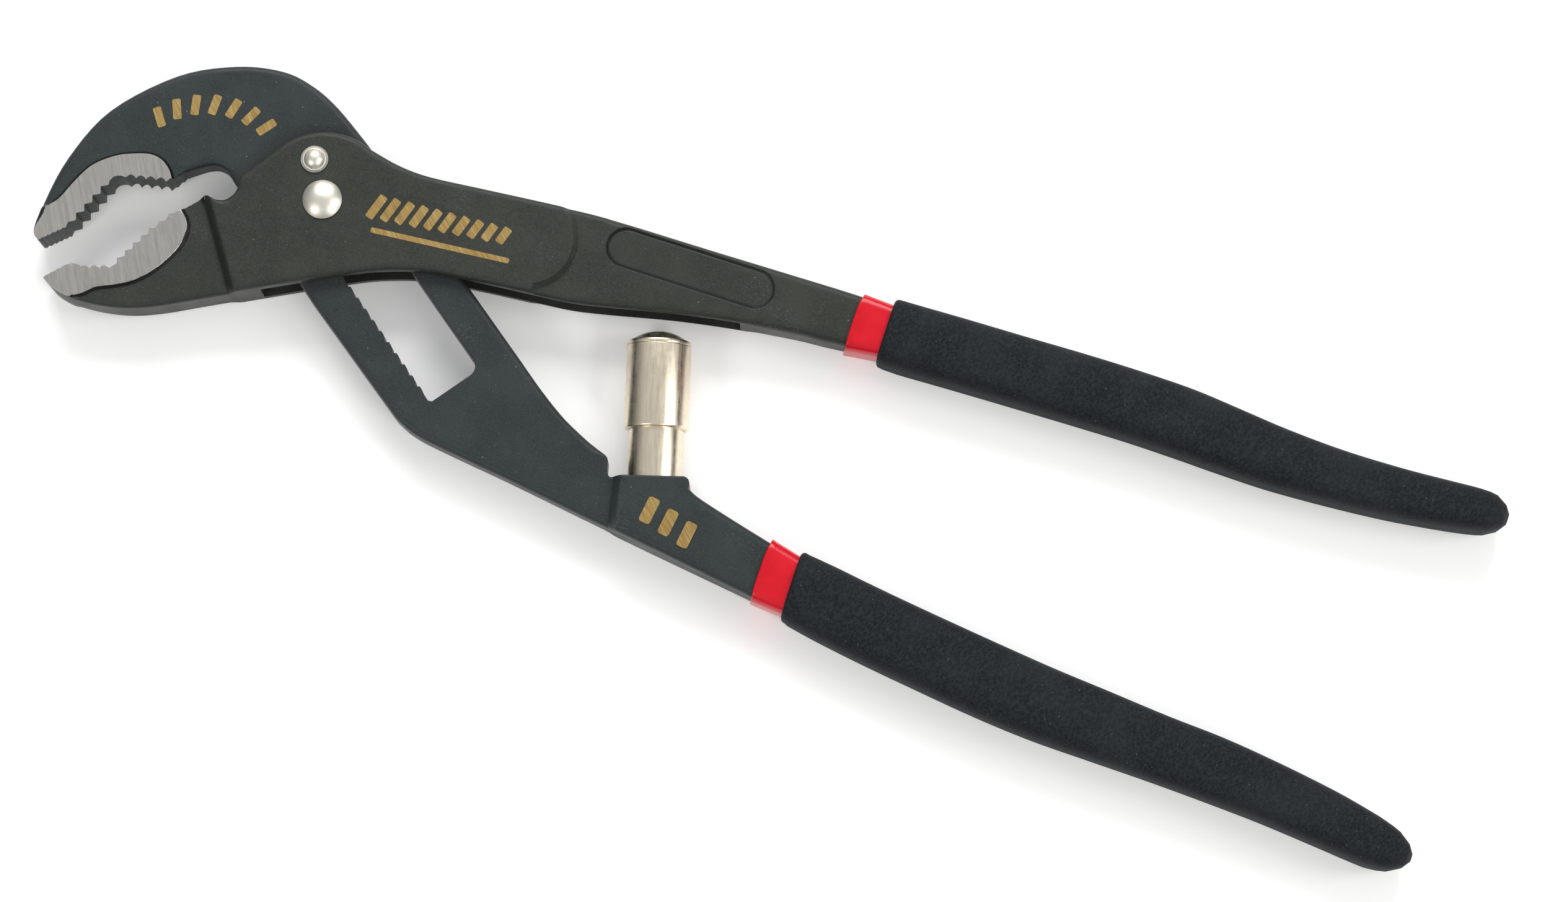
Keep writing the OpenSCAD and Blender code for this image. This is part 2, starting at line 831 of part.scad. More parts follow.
module lower_sleeve() {
    color("crimson") translate(pivot_pos)
        difference() {
            soft_loft(lower_sleeve_rings, 6);
            lower_tang();
        }
}

module upper_grip() {
    color([0.13, 0.14, 0.15]) translate(pivot_pos)
        difference() {
            soft_loft(grip_rings(upper_grip_rows, upper_nose), 3.4);
            soft_loft(upper_sleeve_rings, 6);
        }
}

module lower_grip() {
    color([0.13, 0.14, 0.15]) translate(pivot_pos)
        difference() {
            soft_loft(grip_rings(lower_grip_rows, lower_nose), 3.4);
            soft_loft(lower_sleeve_rings, 6);
        }
}

body_lever();
arm_lever();
pivot_rivet();
stop_rivet();
stop_washer();
guide_block();
pawl();
pawl_spring();
post_tube();
post_sleeve();
post_cap();
post_spring();
post_stop_ring();
spring_seat();
upper_sleeve();
upper_grip();
lower_sleeve();
lower_grip();
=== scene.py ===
"""Looks of the self-adjusting tongue and groove pliers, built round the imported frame."""
import json
import math

import bmesh
import bpy
import mathutils.geometry
import mathutils.kdtree
import numpy as np
from mathutils import Matrix, Vector
from mathutils.bvhtree import BVHTree


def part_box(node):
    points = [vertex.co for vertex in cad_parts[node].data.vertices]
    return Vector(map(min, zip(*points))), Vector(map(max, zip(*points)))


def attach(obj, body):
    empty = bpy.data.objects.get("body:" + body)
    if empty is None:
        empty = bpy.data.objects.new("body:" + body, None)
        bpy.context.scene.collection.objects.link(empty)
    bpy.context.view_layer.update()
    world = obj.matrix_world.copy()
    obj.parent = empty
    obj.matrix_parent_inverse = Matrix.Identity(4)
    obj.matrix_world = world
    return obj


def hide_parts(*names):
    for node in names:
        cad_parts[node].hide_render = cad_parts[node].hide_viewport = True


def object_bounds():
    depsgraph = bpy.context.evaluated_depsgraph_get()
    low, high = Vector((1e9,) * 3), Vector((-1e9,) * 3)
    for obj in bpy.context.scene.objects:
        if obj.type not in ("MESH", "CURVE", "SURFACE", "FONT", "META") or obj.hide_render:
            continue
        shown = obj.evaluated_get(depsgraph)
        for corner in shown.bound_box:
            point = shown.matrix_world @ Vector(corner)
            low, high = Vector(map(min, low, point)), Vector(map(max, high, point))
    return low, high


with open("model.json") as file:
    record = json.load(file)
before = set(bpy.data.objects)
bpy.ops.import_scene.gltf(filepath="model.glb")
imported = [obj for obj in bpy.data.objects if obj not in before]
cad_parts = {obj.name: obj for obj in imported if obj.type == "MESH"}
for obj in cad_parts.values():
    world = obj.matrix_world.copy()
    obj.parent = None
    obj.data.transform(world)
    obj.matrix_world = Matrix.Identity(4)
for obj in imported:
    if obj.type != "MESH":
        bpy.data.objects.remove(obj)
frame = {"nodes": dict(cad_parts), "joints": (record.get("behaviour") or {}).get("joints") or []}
cad_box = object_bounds()

MM = 0.001
JOINTS = {j["name"]: j for j in frame["joints"]}
PIVOT = Vector(JOINTS["handle_squeeze"]["pos_m"])
MID_Z = PIVOT.z
POST_AXIS = Vector(JOINTS["post_press"]["axis"]).normalized()
SLOT = JOINTS["arm_slide"]["axis"]
SLOT_DIR = math.atan2(-SLOT[1], -SLOT[0])


def from_pivot(x, y, z=0.0):
    """A point given in millimetres from the pivot axis, at a height above the mid-plane."""
    return Vector((PIVOT.x + x * MM, PIVOT.y + y * MM, MID_Z + z * MM))


# ---------------------------------------------------------------- node helpers


class Nodes:
    """Short forms for the shader nodes of one material."""

    def __init__(self, name, **principled):
        self.material = bpy.data.materials.new(name)
        self.material.use_nodes = True
        self.tree = self.material.node_tree
        self.bsdf = self.tree.nodes["Principled BSDF"]
        for socket, value in principled.items():
            self.bsdf.inputs[socket.replace("_", " ")].default_value = value
        self.place = self.tree.nodes.new("ShaderNodeTexCoord").outputs["Object"]

    def link(self, value, socket):
        """Links an output to a socket, or sets the socket to a plain value."""
        if hasattr(value, "links"):
            self.tree.links.new(value, socket)
        else:
            socket.default_value = value

    def turned(self, angle=0.0, stretch=(1, 1, 1)):
        """Object coordinates turned about Z, then stretched."""
        turn = self.tree.nodes.new("ShaderNodeMapping")
        turn.inputs["Rotation"].default_value = (0, 0, angle)
        self.link(self.place, turn.inputs["Vector"])
        scale = self.tree.nodes.new("ShaderNodeMapping")
        scale.inputs["Scale"].default_value = stretch
        self.link(turn.outputs[0], scale.inputs["Vector"])
        return scale.outputs[0]

    def noise(self, size_mm, detail=2.0, rough=0.5, place=None):
        """Cloudy noise with features of about the given size."""
        n = self.tree.nodes.new("ShaderNodeTexNoise")
        n.inputs["Scale"].default_value = 1 / (size_mm * MM)
        n.inputs["Detail"].default_value = detail
        n.inputs["Roughness"].default_value = rough
        self.link(self.place if place is None else place, n.inputs["Vector"])
        return n.outputs["Fac"]

    def cells(self, size_mm, place=None):
        """Distance to the nearest of scattered points, and a random value for each."""
        n = self.tree.nodes.new("ShaderNodeTexVoronoi")
        n.inputs["Scale"].default_value = 1 / (size_mm * MM)
        self.link(self.place if place is None else place, n.inputs["Vector"])
        return n.outputs["Distance"], n.outputs["Color"]

    def math(self, operation, a, b=0.0, c=None):
        n = self.tree.nodes.new("ShaderNodeMath")
        n.operation = operation
        self.link(a, n.inputs[0])
        self.link(b, n.inputs[1])
        if c is not None:
            self.link(c, n.inputs[2])
        return n.outputs[0]

    def between(self, value, low, high, to_low=0.0, to_high=1.0):
        """Maps low..high to to_low..to_high, smoothly and clamped."""
        n = self.tree.nodes.new("ShaderNodeMapRange")
        n.interpolation_type = "SMOOTHSTEP"
        self.link(value, n.inputs["Value"])
        set_ranges(n, low, high, to_low, to_high)
        return n.outputs["Result"]

    def mix(self, factor, a, b):
        """Colour a where factor is 0 and b where it is 1."""
        n = self.tree.nodes.new("ShaderNodeMix")
        n.data_type = "RGBA"
        self.link(factor, n.inputs["Factor"])
        self.link(a if hasattr(a, "links") else (*a, 1), n.inputs["A"])
        self.link(b if hasattr(b, "links") else (*b, 1), n.inputs["B"])
        return n.outputs["Result"]

    def blend(self, factor, a, b):
        """Number a where factor is 0 and b where it is 1."""
        n = self.tree.nodes.new("ShaderNodeMix")
        self.link(factor, n.inputs["Factor"])
        self.link(a, n.inputs["A"])
        self.link(b, n.inputs["B"])
        return n.outputs["Result"]

    def bump(self, height, depth_mm, strength=1.0, normal=None):
        """Normal of a relief, laid over another normal if one is given."""
        n = self.tree.nodes.new("ShaderNodeBump")
        n.inputs["Strength"].default_value = strength
        n.inputs["Distance"].default_value = depth_mm * MM
        self.link(height, n.inputs["Height"])
        if normal is not None:
            self.link(normal, n.inputs["Normal"])
        return n.outputs["Normal"]

    def separate(self, axis):
        """One of the object coordinates."""
        n = self.tree.nodes.new("ShaderNodeSeparateXYZ")
        self.link(self.place, n.inputs[0])
        return n.outputs[axis]

    def channel(self, colour, name):
        """One channel of a colour."""
        n = self.tree.nodes.new("ShaderNodeSeparateColor")
        self.link(colour, n.inputs[0])
        return n.outputs[name]

    def spots(self, size_mm, outer, inner, low, high, channel="Red", place=None):
        """Spots round scattered points: none where the point's random value is below low."""
        distance, chance = self.cells(size_mm, place)
        chosen = self.between(self.channel(chance, channel), low, high)
        return self.math("MULTIPLY", self.between(distance, outer, inner), chosen)

    def finish(self, colour=None, roughness=None, metallic=None, normal=None):
        """Links what is given to the shader and returns the material."""
        for value, socket in (
            (colour, "Base Color"), (roughness, "Roughness"), (metallic, "Metallic"), (normal, "Normal"),
        ):
            if value is not None:
                self.link(value, self.bsdf.inputs[socket])
        return self.material


def set_ranges(map_range, low, high, to_low, to_high):
    """The four limits of a Map Range node."""
    for socket, value in (("From Min", low), ("From Max", high), ("To Min", to_low), ("To Max", to_high)):
        map_range.inputs[socket].default_value = value


def scaled(colour, factor):
    """A lighter or darker shade of a colour."""
    return tuple(factor * c for c in colour)


# ---------------------------------------------------------------- materials

# Places on the levers, in millimetres from the pivot: the middle of the step behind the lower jaw and the
# direction across it, and the panel's two round ends with the line just inside their wall, where shade is
# painted into the enamel;
# and the small rivet
JAW_STEP = (-16.95, -15.15)
JAW_STEP_ANGLE = math.radians(33.6)
PANEL_X = (60.9, 87.9)
PANEL_Y = 9.75
PANEL_RIM = 3.8
STOP_AT = (-4.1, 7.3)

# Heights of the ground pads over the mid-plane, and how far down their wall shade is painted into the enamel
BODY_PAD_HALF = 5.7
ARM_PAD_HALF = 4.45
PAD_WALL_SHADE = 0.62

# Directions of the grinding lines and of the scratches in the print
GRIND_ANGLE = math.radians(-29)
SCRATCH_ANGLE = math.radians(-46)

BODY_BASE = (0.030, 0.0325, 0.0275)
ARM_BASE = (0.026, 0.032, 0.0325)
FLECK = (0.10, 0.11, 0.10)
DUST = (0.33, 0.33, 0.31)
SCUFF = (0.22, 0.23, 0.23)


def enamel_parts(n, base):
    """Colour, roughness and normal of baked enamel over a forged surface."""
    grain = n.noise(0.25, 4, 0.65)
    cloud = n.noise(9, 3, 0.6)
    colour = n.mix(n.between(grain, 0.34, 0.68), scaled(base, 0.68), scaled(base, 1.30))
    colour = n.mix(n.between(cloud, 0.35, 0.7, 0, 0.3), colour, scaled(base, 1.5))
    flecks = n.spots(0.95, 0.17, 0.07, 0.68, 0.74)
    colour = n.mix(n.math("MULTIPLY", flecks, 0.55), colour, FLECK)
    dust = n.spots(2.7, 0.060, 0.022, 0.60, 0.66, "Green")
    colour = n.mix(n.math("MULTIPLY", dust, 0.55), colour, DUST)
    scuff_zone = n.between(n.noise(16, 2), 0.60, 0.70)
    scuff = n.math("MULTIPLY", n.between(n.noise(0.35, 4, 0.7), 0.56, 0.70), scuff_zone)
    colour = n.mix(n.math("MULTIPLY", scuff, 0.4), colour, SCUFF)
    roughness = n.between(cloud, 0.3, 0.7, 0.38, 0.50)
    normal = n.bump(grain, 0.035, 0.6)
    normal = n.bump(n.noise(1.4, 2), 0.06, 0.3, normal)
    return colour, roughness, normal


def body_crease_shade(n):
    """1 where shade is painted into the enamel: on the sloping step behind the lower jaw and on the border
    of the handle's panel.
    """
    x = n.math("MULTIPLY_ADD", n.separate("X"), 1 / MM, -PIVOT.x / MM)
    y = n.math("MULTIPLY_ADD", n.separate("Y"), 1 / MM, -PIVOT.y / MM)
    across = (math.cos(JAW_STEP_ANGLE), math.sin(JAW_STEP_ANGLE))
    offset = -JAW_STEP[0] * across[0] - JAW_STEP[1] * across[1]
    slope = n.math("MULTIPLY_ADD", x, across[0], n.math("MULTIPLY_ADD", y, across[1], offset))
    step = n.between(n.math("ABSOLUTE", slope), 1.15, 0.45)
    from_middle = n.math("ABSOLUTE", n.math("SUBTRACT", x, sum(PANEL_X) / 2))
    past_end = n.math("MAXIMUM", n.math("SUBTRACT", from_middle, (PANEL_X[1] - PANEL_X[0]) / 2), 0.0)
    aside = n.math("SUBTRACT", y, PANEL_Y)
    squares = n.math("ADD", n.math("POWER", past_end, 2.0), n.math("MULTIPLY", aside, aside))
    off_border = n.math("ABSOLUTE", n.math("SUBTRACT", n.math("SQRT", squares), PANEL_RIM))
    return n.math("MAXIMUM", step, n.between(off_border, 0.50, 0.12))


def paint_crease_shade(n, base, creases, colour, normal):
    """Shade is painted into the enamel in the creases, darkening its colour, and the creases are also bumped
    a little deeper than the forging's own.
    """
    # Painted shade: the colour goes most of the way to a third of the base in the creases
    shaded_colour = n.mix(n.math("MULTIPLY", creases, 0.62), colour, scaled(base, 0.30))
    return shaded_colour, n.bump(n.math("MULTIPLY", creases, -1.0), 0.16, 0.6, normal)


def enamel(name, base, creases=None):
    """Material of a lever's enamel; creases gives the node that says where it lies deeper and where shade is
    painted into it.
    """
    n = Nodes(name, Specular_IOR_Level=0.2)
    colour, roughness, normal = enamel_parts(n, base)
    if creases is not None:
        # Shade painted into the creases, with a bump
        colour, normal = paint_crease_shade(n, base, creases(n), colour, normal)
    return n.finish(colour, roughness, None, normal)


def ground_steel(n, lines_place):
    """Colour, roughness and normal of a pad ground one way, with short dark nicks."""
    fine = n.noise(0.10, 5, 0.7, lines_place)
    broad = n.noise(0.7, 3, 0.6, lines_place)
    colour = n.mix(n.between(fine, 0.30, 0.70), (0.335, 0.325, 0.30), (0.46, 0.445, 0.42))
    colour = n.mix(n.between(broad, 0.42, 0.66, 0, 0.14), colour, (0.52, 0.50, 0.47))
    nicks = n.spots(2.6, 0.09, 0.04, 0.80, 0.84, place=n.turned(GRIND_ANGLE, (1.0, 0.16, 1.0)))
    colour = n.mix(n.math("MULTIPLY", nicks, 0.75), colour, (0.07, 0.065, 0.06))
    return colour, n.between(broad, 0.3, 0.7, 0.36, 0.43), n.bump(fine, 0.005, 0.3)


def ground_jaw(name, base, pad_half, ragged, creases=None):
    """Bare steel where the pad was ground flat, painted shade darkening the enamel down its wall, and enamel
    beyond.
    """
    n = Nodes(name, Specular_IOR_Level=0.2)
    colour, roughness, normal = enamel_parts(n, base)
    if creases is not None:
        # Shade painted into the creases, with a bump
        colour, normal = paint_crease_shade(n, base, creases(n), colour, normal)
    lines_place = n.turned(GRIND_ANGLE, (1.0, 0.035, 1.0))
    steel, steel_rough, steel_normal = ground_steel(n, lines_place)
    height = n.math("ABSOLUTE", n.math("SUBTRACT", n.separate("Z"), MID_Z))
    drop = n.math("MULTIPLY", n.math("SUBTRACT", pad_half * MM, height), 1 / MM)
    # Painted shade: the enamel down the pad's wall is darkened nearly to black
    wall = n.math("MULTIPLY", n.between(drop, 0.04, 0.12), n.between(drop, PAD_WALL_SHADE, PAD_WALL_SHADE - 0.12))
    colour = n.mix(n.math("MULTIPLY", wall, 0.95), colour, scaled(base, 0.12))
    edge = n.math("MULTIPLY", n.noise(0.32, 3, 0.7, lines_place), ragged)
    bare = n.between(n.math("SUBTRACT", edge, drop), 0.0, 0.03)
    bare = n.math("MULTIPLY", bare, n.between(drop, -0.12, -0.06))
    return n.finish(
        n.mix(bare, colour, steel),
        n.blend(bare, roughness, steel_rough),
        bare,
        n.mix(bare, normal, steel_normal),
    )


def plated(name, base, streak, rough, drawn=None):
    """Bright plated or turned metal, with faint pits, a soft haze, few stains and perhaps lines one way."""
    n = Nodes(name, Metallic=1.0)
    haze = n.noise(2.2, 4, 0.65)
    pits = n.noise(0.22, 3, 0.6)
    colour = n.mix(n.between(haze, 0.35, 0.75, 0, 0.5), base, scaled(base, 0.8))
    stains = n.spots(1.6, 0.09, 0.03, 0.84, 0.9)
    colour = n.mix(n.math("MULTIPLY", stains, 0.6), colour, (0.16, 0.13, 0.09))
    roughness = n.between(haze, 0.3, 0.75, *rough)
    normal = n.bump(pits, 0.006 * streak, 0.6)
    if drawn is not None:
        lines = n.noise(0.45, 4, 0.65, n.turned(drawn, (0.07, 1.0, 1.0)))
        colour = n.mix(n.between(lines, 0.36, 0.66, 0.14, 0), colour, scaled(base, 0.55))
        roughness = n.math("ADD", roughness, n.between(lines, 0.3, 0.7, -0.04, 0.06))
        normal = n.bump(lines, 0.006, 0.4, normal)
    return n.finish(colour, roughness, None, normal)


def vinyl(name):
    """Dipped red vinyl: glossy, with slow waves and a few light motes."""
    n = Nodes(name, Roughness=0.2, Specular_IOR_Level=0.3)
    colour = n.mix(n.between(n.noise(5, 3), 0.3, 0.7), (0.51, 0.004, 0.012), (0.585, 0.007, 0.019))
    motes = n.spots(2.4, 0.06, 0.02, 0.8, 0.86)
    colour = n.mix(n.math("MULTIPLY", motes, 0.6), colour, (0.85, 0.35, 0.35))
    normal = n.bump(n.noise(2.8, 2), 0.10, 0.35)
    return n.finish(colour, None, None, normal)


def grip_skin(name):
    """Matt black outer dip with a fine pebbled skin."""
    n = Nodes(name, Specular_IOR_Level=0.14)
    fine = n.noise(0.20, 5, 0.7)
    creases, _ = n.cells(0.5, n.turned(0.4, (1.0, 0.7, 1.0)))
    rise = n.math("ADD", n.math("MULTIPLY", creases, 0.30), fine)
    colour = n.mix(n.between(rise, 0.48, 0.84), (0.0030, 0.0046, 0.0058), (0.0175, 0.022, 0.0255))
    colour = n.mix(n.between(n.noise(11, 3), 0.4, 0.7, 0, 0.3), colour, (0.024, 0.028, 0.030))
    motes = n.spots(1.2, 0.13, 0.05, 0.66, 0.72)
    colour = n.mix(n.math("MULTIPLY", motes, 0.5), colour, (0.15, 0.16, 0.165))
    roughness = n.between(fine, 0.3, 0.7, 0.58, 0.74)
    normal = n.bump(rise, 0.10, 0.7)
    return n.finish(colour, roughness, None, normal)


def gold_print(name):
    """Thin gold print, worn in slanting scratches."""
    n = Nodes(name, Metallic=0.55, Roughness=0.42)
    lines = n.noise(0.30, 4, 0.7, n.turned(SCRATCH_ANGLE, (1.0, 0.05, 1.0)))
    colour = n.mix(n.between(lines, 0.3, 0.65), (0.26, 0.165, 0.045), (0.42, 0.285, 0.10))
    colour = n.mix(n.between(lines, 0.60, 0.70, 0, 0.7), colour, (0.66, 0.54, 0.32))
    normal = n.bump(lines, 0.02, 0.4)
    return n.finish(colour, None, None, normal)


def plain_steel(name, base, rough):
    """Unplated inner steel: cut marks and an oily bloom."""
    n = Nodes(name, Metallic=1.0)
    marks = n.noise(0.25, 3, 0.6, n.turned(0.3, (1.0, 0.12, 1.0)))
    bloom = n.noise(2.5, 3)
    colour = n.mix(n.between(marks, 0.3, 0.7), scaled(base, 0.75), base)
    colour = n.mix(n.between(bloom, 0.5, 0.75, 0, 0.4), colour, scaled(base, 0.45))
    roughness = n.between(bloom, 0.3, 0.7, rough, rough + 0.15)
    return n.finish(colour, roughness, None, n.bump(marks, 0.01, 0.4))


def floor_paper(name):
    """White paper with a faint tooth, a little lifted like a lit backdrop."""
    n = Nodes(name, Roughness=0.85, Specular_IOR_Level=0.2, Emission_Strength=0.16)
    colour = n.mix(n.noise(3, 3), (0.90, 0.90, 0.895), (0.92, 0.92, 0.915))
    return n.finish(colour, None, None, n.bump(n.noise(0.6, 3), 0.02, 0.2))


# ---------------------------------------------------------------- mesh helpers


def new_piece(name, verts, faces, material, smooth_angle=35):
    """A new object from points and faces, smooth except at edges sharper than the angle."""
    mesh = bpy.data.meshes.new(name)
    mesh.from_pydata([tuple(v) for v in verts], [], faces)
    mesh.update()
    mesh.materials.append(material)
    bm = bmesh.new()
    bm.from_mesh(mesh)
    bmesh.ops.recalc_face_normals(bm, faces=bm.faces)
    mark_sharp(bm, smooth_angle)
    bm.to_mesh(mesh)
    bm.free()
    piece = bpy.data.objects.new(name, mesh)
    bpy.context.scene.collection.objects.link(piece)
    return piece


def mark_sharp(bm, angle):
    """Smooth faces, with sharp edges where two of them meet at more than the angle in degrees."""
    for f in bm.faces:
        f.smooth = True
    for e in bm.edges:
        e.smooth = len(e.link_faces) == 2 and e.calc_face_angle(0) < math.radians(angle)


def along_post(node):
    """Where a CAD node starts and ends along the post."""
    reach = [v.co.dot(POST_AXIS) for v in frame["nodes"][node].data.vertices]
    return min(reach), max(reach)


def post_centre():
    """The point of the post's axis that is nearest to the row's origin, at mid thickness."""
    side = Vector((-POST_AXIS.y, POST_AXIS.x, 0))
    reach = [v.co.dot(side) for v in frame["nodes"]["post_sleeve"].data.vertices]
    return side * (min(reach) + max(reach)) / 2 + Vector((0, 0, MID_Z))


def fillet(profile, radii, steps=4):
    """Rounds the corners of an open profile: radii gives a radius per inner corner."""
    out = [profile[0]]
    for i in range(1, len(profile) - 1):
        a, b, c = (Vector(p) for p in profile[i - 1 : i + 2])
        r = radii.get(i, 0)
        if r == 0:
            out.append(tuple(b))
            continue
        start, end = b + (a - b).normalized() * r, b + (c - b).normalized() * r
        for k in range(steps + 1):
            t = k / steps
            out.append(tuple((1 - t) ** 2 * start + 2 * t * (1 - t) * b + t * t * end))
    out.append(profile[-1])
    return out


def lathe(name, profile, centre, axis, material, sides=96):
    """Turns (distance along, radius) pairs round an axis. Both ends lie on it, or the loop closes."""
    axis = axis.normalized()
    across = Vector((0, 0, 1)) if abs(axis.z) < 0.5 else Vector((1, 0, 0))
    u = axis.cross(across).normalized()
    w = axis.cross(u)
    verts, rings = [], []
    for t, r in profile:
        if r < 1e-7:
            rings.append([len(verts)])
            verts.append(centre + axis * t)
        else:
            rings.append(list(range(len(verts), len(verts) + sides)))
            for k in range(sides):
                a = 2 * math.pi * k / sides
                verts.append(centre + axis * t + (u * math.cos(a) + w * math.sin(a)) * r)
    closed = len(rings[0]) > 1
    pairs = list(zip(rings, rings[1:])) + ([(rings[-1], rings[0])] if closed else [])
    faces = []
    for a, b in pairs:
        for k in range(sides):
            n = (k + 1) % sides
            face = [a[k % len(a)], a[n % len(a)], b[n % len(b)], b[k % len(b)]]
            faces.append(list(dict.fromkeys(face)))
    return new_piece(name, verts, faces, material, 30)


def finish_piece(piece, node, body):
    """The piece takes the place of its CAD node, on its body."""
    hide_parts(node)
    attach(piece, body)


# ---------------------------------------------------------------- forgings
# The levers are worked in millimetres from the pivot, on the mid-plane.

TO_MM = Matrix.Scale(1000, 4) @ Matrix.Translation((-PIVOT.x, -PIVOT.y, -MID_Z))
# Rows of points along a rim, in parts of its width, and along a step, in parts of its softening
RIM_STEPS = (0.1, 0.3, 0.6, 1.0, 1.35)
STEP_ROWS = (-1.8, -1.35, -1.02, -0.7, -0.35, 0, 0.35, 0.7, 1.02, 1.35, 1.8)
# Past this X the grips hide the levers
HIDDEN_X = 114
FLAT = math.radians(0.4)
BORE_RIM = 0.06
TOOTH_RIM = 0.08
# A test ray starts this far from the mid-plane, outside both levers
RAY_START = 30
# Distances to many segments are worked out for this many points at a time
BATCH = 2000


def lever_solid(node):
    """The CAD lever, welded, with the flat pieces of its walls joined."""
    bm = bmesh.new()
    bm.from_mesh(frame["nodes"][node].data)
    bmesh.ops.transform(bm, matrix=TO_MM, verts=bm.verts)
    bmesh.ops.remove_doubles(bm, verts=bm.verts, dist=0.002)
    bmesh.ops.dissolve_degenerate(bm, edges=bm.edges, dist=0.001)
    bm.normal_update()
    flat = [
        e for e in bm.edges
        if len(e.link_faces) == 2 and all(abs(f.normal.z) < 0.3 for f in e.link_faces)
        and e.calc_face_angle(0) < FLAT and not near_post(e)
    ]
    bmesh.ops.dissolve_limit(bm, angle_limit=FLAT, edges=flat, verts=[])
    bm.normal_update()
    return bm


def near_post(e):
    """True for edges in the wall that the post's socket is bored into."""
    centre = TO_MM @ post_centre()
    p = (e.verts[0].co + e.verts[1].co) / 2 - centre
    return (p - POST_AXIS * p.dot(POST_AXIS)).length < 9 and p.x > -5


def to_segments(points, a, b):
    """Distance from each point to the nearest segment, which one it is, and how far along it."""
    best = np.full(len(points), 1e9)
    which = np.zeros(len(points), int)
    along = np.zeros(len(points))
    d = b - a
    square = np.maximum((d * d).sum(1), 1e-12)
    for first in range(0, len(points), BATCH):
        p = points[first : first + BATCH, None, :]
        t = np.clip(((p - a) * d).sum(2) / square, 0, 1)
        gap = np.hypot(*np.moveaxis(p - (a + t[..., None] * d), 2, 0))
        i = gap.argmin(1)
        rows = np.arange(len(i))
        best[first : first + BATCH] = gap[rows, i]
        which[first : first + BATCH] = i
        along[first : first + BATCH] = t[rows, i]
    return best, which, along


def inside(points, a, b):
    """Even-odd test against all outline segments."""
    out = np.zeros(len(points), bool)
    for first in range(0, len(points), BATCH):
        p = points[first : first + BATCH, None, :]
        spans = (a[:, 1] > p[..., 1]) != (b[:, 1] > p[..., 1])
        rise = np.where(b[:, 1] == a[:, 1], 1e-9, b[:, 1] - a[:, 1])
        cross = a[:, 0] + (p[..., 1] - a[:, 1]) / rise * (b[:, 0] - a[:, 0])
        out[first : first + BATCH] = (spans & (p[..., 0] < cross)).sum(1) % 2 == 1
    return out


